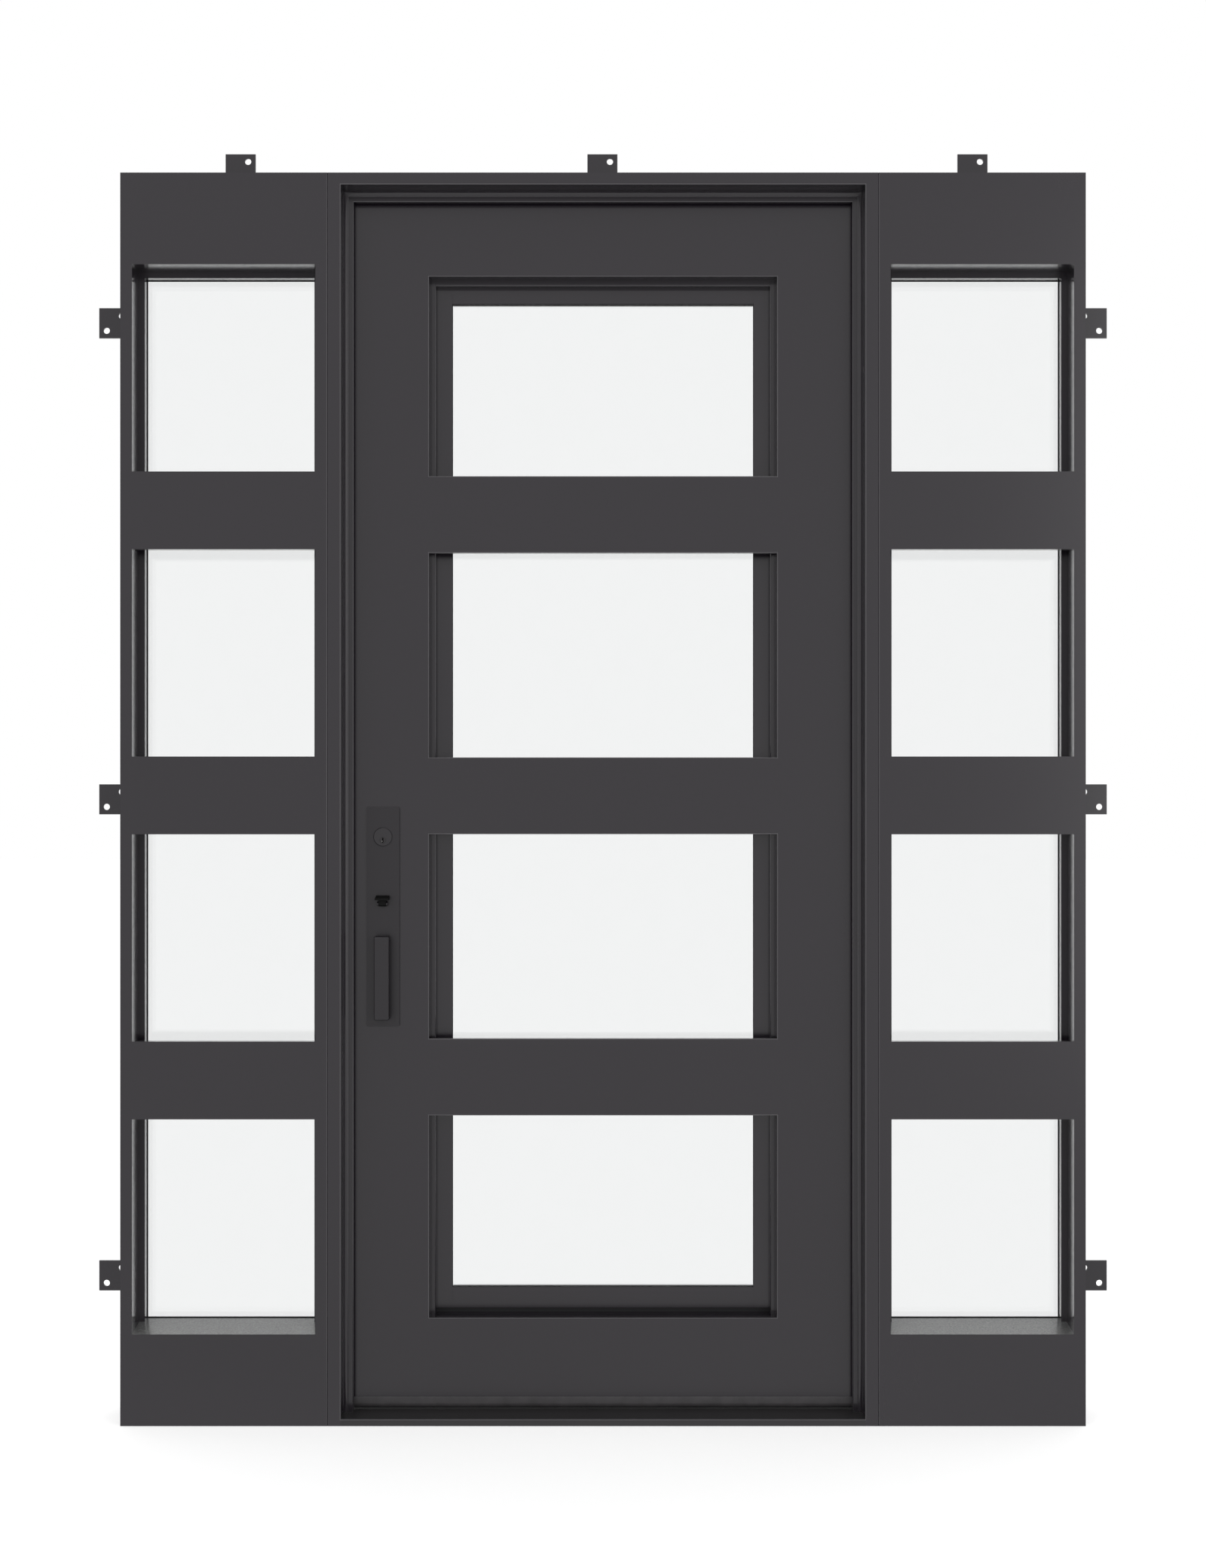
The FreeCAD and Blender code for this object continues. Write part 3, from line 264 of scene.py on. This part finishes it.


# One material for each slot, and four finishes for parts of a slot: the sill paint, with a painted
# reflection on faces that look up; the edge paint, a painted highlight on the lips; the keyway's
# black, painted shade in the keyway; and the ward's steel.
materials = {name: material(name, draw) for name, draw in {
    "frame_paint": door_paint(CHARCOAL),
    "sill_sheen_paint": door_paint(CHARCOAL, SILL_SHEEN),
    "leaf_paint": door_paint(CHARCOAL),
    "edge_highlight_paint": door_paint(EDGE_HIGHLIGHT),
    "tab_steel": door_paint(CHARCOAL),
    "threshold_metal": powder_coat((0.0260, 0.0245, 0.0260), roughness=0.34, specular=0.42),
    "lock_plate_metal": powder_coat(LOCK_BLACK, roughness=0.40),
    "grip_metal": powder_coat(LOCK_BLACK, roughness=0.38),
    # Near black and low in shine: the thumb piece's dark finish, made darker still as painted shade under
    # the paddle.
    "thumb_metal": powder_coat((0.004, 0.004, 0.004), roughness=0.50, specular=0.12),
    "cylinder_metal": powder_coat(LOCK_BLACK, roughness=0.34, specular=0.55),
    # Near black and without shine: painted shade in the keyway.
    "keyway_painted_shade": powder_coat((0.002, 0.002, 0.002), roughness=0.60, specular=0.04),
    "ward_steel": brushed_steel((0.62, 0.61, 0.60), roughness=0.24, stretch=(1, 1, 0.2)),
    "plug_metal": brushed_steel((0.05, 0.048, 0.05), roughness=0.38, stretch=(1, 0.05, 1)),
    "edge_steel": brushed_steel((0.32, 0.32, 0.33), roughness=0.32, stretch=(1, 1, 0.03)),
    "hinge_steel": brushed_steel((0.10, 0.098, 0.10), roughness=0.36, stretch=(1, 1, 0.04)),
    "seal_rubber": rubber((0.010, 0.010, 0.011)),
    "sweep_plastic": rubber((0.062, 0.059, 0.062), roughness=0.36, specular=0.5),
    "sidelight_glass": clear_glass(PALE_GLASS),
    "leaf_glass": clear_glass(PALE_GLASS),
}.items()}


# Floor, light and backdrop.
WHITE = (1, 1, 1, 1)
SKY_LEVEL = 0.75
FLOOR_SIZE = 60
FLOOR_TONE = 0.86
FLOOR_LIFT = 0.48


def make_world():
    """An even sky for the diffuse light, which the camera, gloss and glass see as plain white."""
    world = bpy.data.worlds.new("studio")
    bpy.context.scene.world = world
    tree = Tree(world)
    seen = tree.seen_by("Camera", "Glossy", "Transmission")
    sky = tree.add("ShaderNodeBackground", Color=WHITE, Strength=tree.ramp(seen, 0.0, 1.0, SKY_LEVEL, 1.0))
    tree.add("ShaderNodeOutputWorld", Surface=sky.outputs[0])


def make_floor():
    """A white floor: its own light makes up what the lamps leave, and the shadow stays.
    Gloss and glass see it as plain white, like the sky."""
    mesh = bpy.data.meshes.new("floor")
    half = FLOOR_SIZE / 2
    square = [(-half, -half, 0), (half, -half, 0), (half, half, 0), (-half, half, 0)]
    mesh.from_pydata(square, [], [(0, 1, 2, 3)])
    floor = bpy.data.objects.new("floor", mesh)
    bpy.context.scene.collection.objects.link(floor)
    made = bpy.data.materials.new("floor")
    tree = Tree(made)
    diffuse = tree.add("ShaderNodeBsdfDiffuse", Color=(FLOOR_TONE, FLOOR_TONE, FLOOR_TONE, 1))
    lift = tree.math("MULTIPLY", tree.seen_by("Camera"), FLOOR_LIFT)
    glow = tree.add("ShaderNodeEmission", Color=WHITE, Strength=lift)
    lit = tree.join("ShaderNodeAddShader", diffuse.outputs[0], glow.outputs[0])
    plain = tree.add("ShaderNodeEmission", Color=WHITE, Strength=1.0)
    mirrored = tree.seen_by("Glossy", "Transmission")
    surface = tree.join("ShaderNodeMixShader", lit, plain.outputs[0], Fac=mirrored)
    tree.add("ShaderNodeOutputMaterial", Surface=surface)
    mesh.materials.append(made)


def make_lamp(name, place, target, size, power, shines):
    """A soft lamp that faces target. Neither the camera nor glass sees it, and gloss only if it shines."""
    lamp = bpy.data.lights.new(name, "AREA")
    lamp.shape = "RECTANGLE"
    lamp.size, lamp.size_y = size
    lamp.energy = power
    holder = bpy.data.objects.new(name, lamp)
    holder.location = place
    holder.rotation_euler = (Vector(target) - Vector(place)).to_track_quat("-Z", "Y").to_euler()
    bpy.context.scene.collection.objects.link(holder)
    holder.visible_camera = False
    holder.visible_transmission = False
    holder.visible_glossy = shines


def make_lights():
    middle, square = (0, 0, 1.0), (2.4, 2.4)
    make_lamp("key", place=(-2.6, -4.2, 3.0), target=middle, size=square, power=25, shines=False)
    make_lamp("side", place=(2.24, -3.4, 1.55), target=(0.8, 0, 1.3), size=(0.8, 2.9), power=16, shines=True)
    make_lamp("back", place=(2.0, 4.5, 3.2), target=middle, size=square, power=25, shines=False)


# The object's own pieces.
BOTTOM, RIGHT, TOP, LEFT = range(4)
ALL_ROUND = (BOTTOM, RIGHT, TOP, LEFT)
NO_FOOT = (RIGHT, TOP, LEFT)


def piece(name, bm, slot, body, replaced=(), finish=None):
    """Turns a bmesh into a finished piece that rides on a body.
    finish is its material, if that isn't the slot's own."""
    bmesh.ops.recalc_face_normals(bm, faces=bm.faces)
    mesh = bpy.data.meshes.new(name)
    bm.to_mesh(mesh)
    bm.free()
    made = bpy.data.objects.new(name, mesh)
    bpy.context.scene.collection.objects.link(made)
    mesh.materials.append(materials[finish or slot])
    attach(made, body)
    if replaced:
        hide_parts(*replaced)


def circle(points):
    """The cosine and sine of equal steps of turn, once round."""
    turns = [2 * math.pi * index / points for index in range(points)]
    return [(math.cos(turn), math.sin(turn)) for turn in turns]


def corners(bm, rectangle, inward, depth):
    """Four vertices at y = depth, inward from the corners of a rectangle in the XZ plane."""
    low_x, high_x, low_z, high_z = rectangle
    return [bm.verts.new((x, depth, z)) for x, z in (
        (low_x + inward, low_z + inward), (high_x - inward, low_z + inward),
        (high_x - inward, high_z - inward), (low_x + inward, high_z - inward))]


def bridge(bm, rings, starts):
    """Faces from each ring to the next. starts numbers the vertices that a face begins at."""
    for ring, following in zip(rings, rings[1:]):
        for start in starts:
            after = (start + 1) % len(ring)
            bm.faces.new((ring[start], ring[after], following[after], following[start]))


def capped(bm, rings):
    """A solid through rings of vertices, closed at both ends."""
    bridge(bm, rings, range(len(rings[0])))
    bm.faces.new(rings[0])
    bm.faces.new(rings[-1])


def loop_strip(bm, rectangle, section, sides=ALL_ROUND):
    """A closed section carried round a rectangle in the XZ plane with mitred corners, or along
    some of its sides. A point of the section is (inwards from the rectangle, y)."""
    rings = [corners(bm, rectangle, inward, depth) for inward, depth in section]
    bridge(bm, rings + rings[:1], sides)
    for side in sides:
        after = (side + 1) % 4
        if (side - 1) % 4 not in sides:
            bm.faces.new([ring[side] for ring in rings])
        if after not in sides:
            bm.faces.new([ring[after] for ring in rings])


# Glass and its gaskets.
SHEET = 4 * MM
ARRIS = 0.5 * MM
SPACER_EDGE = 0.5 * MM
SPACER_WIDTH = 5 * MM
BEAD_WIDTH = 9.3 * MM
GROOVE = 5.8 * MM
GASKET_LIP = 1.4 * MM
GASKET_DEPTH = 3 * MM
LEAF_GASKET_LIP = 0.9 * MM
LEAF_GASKET_DEPTH = 1.2 * MM
GASKET_SECTION = ((-0.5, 0), (0.6, 0), (1, 0.25), (0.9, 0.6), (0.4, 1), (-0.5, 1))


def pane(bm, rectangle, near, far):
    """One sheet of glass with ground edges."""
    profile = ((ARRIS, near), (0, near + ARRIS), (0, far - ARRIS), (ARRIS, far))
    capped(bm, [corners(bm, rectangle, inward, depth) for inward, depth in profile])


def sealed_unit(node, slot, body):
    """Two sheets of glass and the dark spacer bar between them, in place of the plain slab."""
    low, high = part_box(node)
    rectangle = (low.x, high.x, low.z, high.z)
    near, far = low.y + SHEET, high.y - SHEET
    bm = bmesh.new()
    pane(bm, rectangle, low.y, near)
    pane(bm, rectangle, far, high.y)
    piece(f"{node}_sheets", bm, slot, body, (node,))
    bm = bmesh.new()
    inner = SPACER_EDGE + SPACER_WIDTH
    loop_strip(bm, rectangle, [
        (SPACER_EDGE, near), (inner - ARRIS, near), (inner, near + ARRIS),
        (inner, far - ARRIS), (inner - ARRIS, far), (SPACER_EDGE, far)])
    piece(f"{node}_spacer", bm, "seal_rubber", body)


def gasket(name, body, opening, face, depth, lip):
    """The black lip that stands out of the line between a glazing bead and the glass.
    opening is the bead's inner rectangle, and face the plane of the glass. A point of
    GASKET_SECTION is a share of the lip and a share of the depth."""
    bm = bmesh.new()
    loop_strip(bm, opening, [(lip * inward, face - depth * forward) for inward, forward in GASKET_SECTION])
    piece(name, bm, "seal_rubber", body)


def sidelight_gasket(side):
    """One lip round the glass: along the beads, and along the top of the sloped sill."""
    beads_low, beads_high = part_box(f"{side}_sidelight_front_beads")
    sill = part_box(f"{side}_sidelight_bottom_rail")[1].z
    opening = (beads_low.x + BEAD_WIDTH, beads_high.x - BEAD_WIDTH, sill, beads_high.z - BEAD_WIDTH)
    gasket(f"{side}_sidelight_gasket", "frame", opening, beads_high.y, GASKET_DEPTH, GASKET_LIP)


def leaf_gasket():
    """The lip in front of the leaf's glass, which stands in a groove all round."""
    low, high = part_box("leaf_glass")
    opening = (low.x + GROOVE, high.x - GROOVE, low.z + GROOVE, high.z - GROOVE)
    gasket("leaf_glass_gasket", "leaf", opening, low.y, LEAF_GASKET_DEPTH, LEAF_GASKET_LIP)


# Rolled lips on the edges of the sheet metal.
LIP_RADIUS = 0.95 * MM
LIP_INSET = 0.65 * MM
LIP_POINTS = 12
SEAM_END = 3 * MM
STOP_COVE = 7 * MM
STOP_EDGE = 0.5 * MM
STOP_REACH = 16 * MM
STRIP_WIDTH = 9.5 * MM
LEVEL_DIGITS = 5


def edge_lips(name, body, rectangles, face, sides=ALL_ROUND):
    """The fine rolled edge that catches the light round an opening of the frame or the leaf; its
    lighter paint adds a painted highlight along it. face is the plane it is rolled from."""
    section = [(LIP_RADIUS * cosine - LIP_INSET, face + LIP_INSET + LIP_RADIUS * sine)
               for cosine, sine in circle(LIP_POINTS)]
    bm = bmesh.new()
    for rectangle in rectangles:
        loop_strip(bm, rectangle, section, sides)
    for side in bm.faces:
        side.smooth = True
    # The lips' lighter paint is a painted highlight along the edges.
    piece(name, bm, f"{body}_paint", body, finish="edge_highlight_paint")


def frame_lips():
    """Round the door's opening, along the two seams beside it, and on both edges of the stops' face."""
    low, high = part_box("frame_head")
    stops_low, stops_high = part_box("frame_stops")
    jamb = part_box("jamb_right")[0].x
    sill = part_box("threshold")[1].z
    under = stops_high.z
    edge_lips("frame_edge_lip", "frame", [(-jamb, jamb, sill, under)], low.y)
    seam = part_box("right_sidelight_inner_stile")[0].x
    edge_lips("frame_seam_lips", "frame", [(-seam, seam, SEAM_END, high.z - SEAM_END)], low.y, (RIGHT, LEFT))
    for name, inset in (("stop_cove_lip", STOP_COVE + STOP_EDGE), ("stop_edge_lip", STOP_REACH)):
        edge_lips(name, "frame", [(-jamb + inset, jamb - inset, sill, under - inset)],
                  stops_low.y + STOP_COVE, NO_FOOT)


def leaf_lips():
    """Round the four openings between the leaf's bars, and along the strips that hold the glass
    frame. Levels of the bars that agree to LEVEL_DIGITS places of a metre are one level."""
    bar_levels = sorted({round(vertex.co.z, LEVEL_DIGITS) for vertex in nodes["leaf_bars"].data.vertices})
    strips_low, strips_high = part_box("glass_stop_strips")
    levels = [strips_low.z] + bar_levels + [strips_high.z]
    side = strips_high.x
    openings = [(-side, side, below, above) for below, above in zip(levels[::2], levels[1::2])]
    edge_lips("leaf_opening_lips", "leaf", openings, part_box("leaf_bars")[0].y)
    inner = (-side + STRIP_WIDTH, side - STRIP_WIDTH, strips_low.z, strips_high.z - STRIP_WIDTH)
    edge_lips("strip_edge_lips", "leaf", [inner], strips_low.y, NO_FOOT)


# Screws. A point of the profile is a share of the head's radius and a height in millimetres. The
# edge plate's face turns by EDGE_SLOPE to the front, and its middle lies EDGE_FACE in from its box.
SCREW_PROFILE = ((1, -0.1), (0.96, 0.15), (0.86, 0.22), (0.46, 0.24), (0.42, 0.18), (0.38, 0.04))
SCREW_POINTS = 20
HINGE_SCREW = 4 * MM
LOCK_SCREW = 3.4 * MM
HINGE_HEIGHT = 114.3 * MM
HINGE_HALF_GAP = 0.35 * MM
HINGE_NEAR, HINGE_FAR = 11 * MM, 25 * MM
HINGE_SPACING = 41 * MM
EDGE_SLOPE = 0.058
EDGE_FACE = 0.7 * MM
EDGE_INSET = 10 * MM
INNER_INSET = 14 * MM


def screws(name, places, outwards, radius, slot, body):
    """Flat countersunk heads with a round socket, proud of their plate by a quarter of a millimetre."""
    bm = bmesh.new()
    turned = Vector(outwards).to_track_quat("Z", "Y").to_matrix()
    for place in places:
        rings = []
        for share, height in SCREW_PROFILE:
            points = [Vector((radius * share * cosine, radius * share * sine, height * MM))
                      for cosine, sine in circle(SCREW_POINTS)]
            rings.append([bm.verts.new(Vector(place) + turned @ point) for point in points])
        capped(bm, rings)
    piece(name, bm, slot, body)


def hinge_screws():
    """Three to each hinge plate, in a zigzag, on the side where the closed plates face each other."""
    for node, body, sign in (("hinge_leaf_plates", "leaf", 1), ("hinge_jamb_plates", "frame", -1)):
        low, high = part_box(node)
        middles = (low.z + HINGE_HEIGHT / 2, (low.z + high.z) / 2, high.z - HINGE_HEIGHT / 2)
        face = (low.x + high.x) / 2 - sign * HINGE_HALF_GAP
        places = [(face, low.y + across, middle + along) for middle in middles for across, along in (
            (HINGE_NEAR, -HINGE_SPACING), (HINGE_FAR, 0), (HINGE_NEAR, HINGE_SPACING))]
        screws(f"{node}_screws", places, (sign, 0, 0), HINGE_SCREW, "hinge_steel", body)


def end_screws(plate, across, depth, inset, outwards, slot, body):
    """One near each end of an upright plate, at x = across and y = depth."""
    low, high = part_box(plate)
    places = [(across, depth, end) for end in (low.z + inset, high.z - inset)]
    screws(f"{plate}_screws", places, outwards, LOCK_SCREW, slot, body)


def lock_screws():
    """Two to the edge plate, whose face slopes, two to the strike plate and two to the inner plate."""
    low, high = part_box("lock_edge_plate")
    end_screws("lock_edge_plate", low.x + EDGE_FACE, (low.y + high.y) / 2, EDGE_INSET,
               (-1, -EDGE_SLOPE, 0), "edge_steel", "leaf")
    low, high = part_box("strike_plate")
    end_screws("strike_plate", high.x, (low.y + high.y) / 2, EDGE_INSET, (1, 0, 0), "edge_steel", "frame")
    low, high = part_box("inner_lock_plate")
    end_screws("inner_lock_plate", (low.x + high.x) / 2, high.y, INNER_INSET, (0, 1, 0),
               "lock_plate_metal", "leaf")


# Keyway and ward, in millimetres from the middle of the plug, or in metres where MM says so.
# The left half of the keyway is the right one, narrowed.
KEYWAY_HALF = ((0.0, 4.3), (0.8, 4.1), (1.3, 3.3), (1.3, 1.4), (1.0, 0.8),
               (1.5, 0.0), (1.5, -2.0), (1.1, -2.7), (1.1, -3.8), (0.4, -4.3))
KEYWAY_NARROW = 0.72
KEYWAY_TAPER = 0.9
KEYWAY_SUNK = 0.4 * MM
KEYWAY_PROUD = 0.1 * MM
SAME_POINT = 0.001 * MM
WARD_HALF = (0.36, 0.95)
WARD_PLACE = (-1.0, -1.7)
WARD_DOME = ((1.0, 0), (0.8, 0.16), (0.4, 0.24))
WARD_POINTS = 12


def plug_ring(bm, points, depth):
    """Vertices at y = depth. The points are in millimetres from the middle of the plug."""
    low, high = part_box("key_plug")
    across, up = (low.x + high.x) / 2, (low.z + high.z) / 2
    return [bm.verts.new((across + x * MM, depth, up + z * MM)) for x, z in points]


def keyway():
    """A black sheet in the shape of the keyway's mouth on the face of the plug: painted shade for the dark
    inside of the keyway.
    """
    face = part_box("key_plug")[0].y
    outline = list(KEYWAY_HALF) + [(-x * KEYWAY_NARROW, z) for x, z in reversed(KEYWAY_HALF)]
    bm = bmesh.new()
    steps = ((1.0, face + KEYWAY_SUNK), (1.0, face), (KEYWAY_TAPER, face - KEYWAY_PROUD))
    capped(bm, [plug_ring(bm, [(x * scale, z * scale) for x, z in outline], depth)
                for scale, depth in steps])
    bmesh.ops.remove_doubles(bm, verts=bm.verts, dist=SAME_POINT)
    piece("keyway_shade_sheet", bm, "plug_metal", "key_plug", finish="keyway_painted_shade")


def ward():
    """A bright ward on the left edge of the keyway's mouth. A step of WARD_DOME is a share of the
    ward's size and a rise in millimetres."""
    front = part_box("key_plug")[0].y - KEYWAY_PROUD
    (wide, tall), (aside, above) = WARD_HALF, WARD_PLACE
    bm = bmesh.new()
    rings = []
    for scale, rise in WARD_DOME:
        points = [(wide * scale * cosine + aside, tall * scale * sine + above)
                  for cosine, sine in circle(WARD_POINTS)]
        rings.append(plug_ring(bm, points, front - rise * MM))
    capped(bm, rings)
    piece("keyway_ward", bm, "plug_metal", "key_plug", finish="ward_steel")


# Carried-over nodes.
EASED = ("hinge_jamb_plates", "hinge_leaf_plates", "lock_edge_plate", "strike_plate")
EASE_WIDTH = 0.3 * MM
EASE_SEGMENTS = 2
WELD_DISTANCE = 0.005 * MM
FLAT_ANGLE = math.radians(0.5)
SHARP_ANGLE = math.radians(40)


def dress_nodes():
    """Each carried-over node takes the material of its own slot, and the sloped sills take the paint with a
    painted reflection on their faces that look up.
    """
    for node in nodes.values():
        slot = node.material_slots[0]
        slot.material = materials[slot.material.name.split(".")[0]]
    for side in ("left", "right"):
        nodes[f"{side}_sidelight_bottom_rail"].material_slots[0].material = materials["sill_sheen_paint"]


def ease_edges():
    """A small round on the edges of the plates."""
    for name in EASED:
        modifiers = nodes[name].modifiers
        modifiers.new("weld", "WELD").merge_threshold = WELD_DISTANCE
        dissolve = modifiers.new("dissolve", "DECIMATE")
        dissolve.decimate_type = "DISSOLVE"
        dissolve.angle_limit = FLAT_ANGLE
        bevel = modifiers.new("bevel", "BEVEL")
        bevel.width = EASE_WIDTH
        bevel.segments = EASE_SEGMENTS
        bevel.limit_method = "ANGLE"
        bevel.angle_limit = SHARP_ANGLE
        modifiers.new("normals", "WEIGHTED_NORMAL")


def main():
    bpy.context.scene.view_settings.view_transform = "Standard"
    make_camera()
    make_world()
    make_floor()
    make_lights()
    dress_nodes()
    sealed_unit("left_sidelight_glass", "sidelight_glass", "frame")
    sealed_unit("right_sidelight_glass", "sidelight_glass", "frame")
    sealed_unit("leaf_glass", "leaf_glass", "leaf")
    sidelight_gasket("left")
    sidelight_gasket("right")
    leaf_gasket()
    frame_lips()
    leaf_lips()
    hinge_screws()
    lock_screws()
    keyway()
    ward()
    ease_edges()


main()
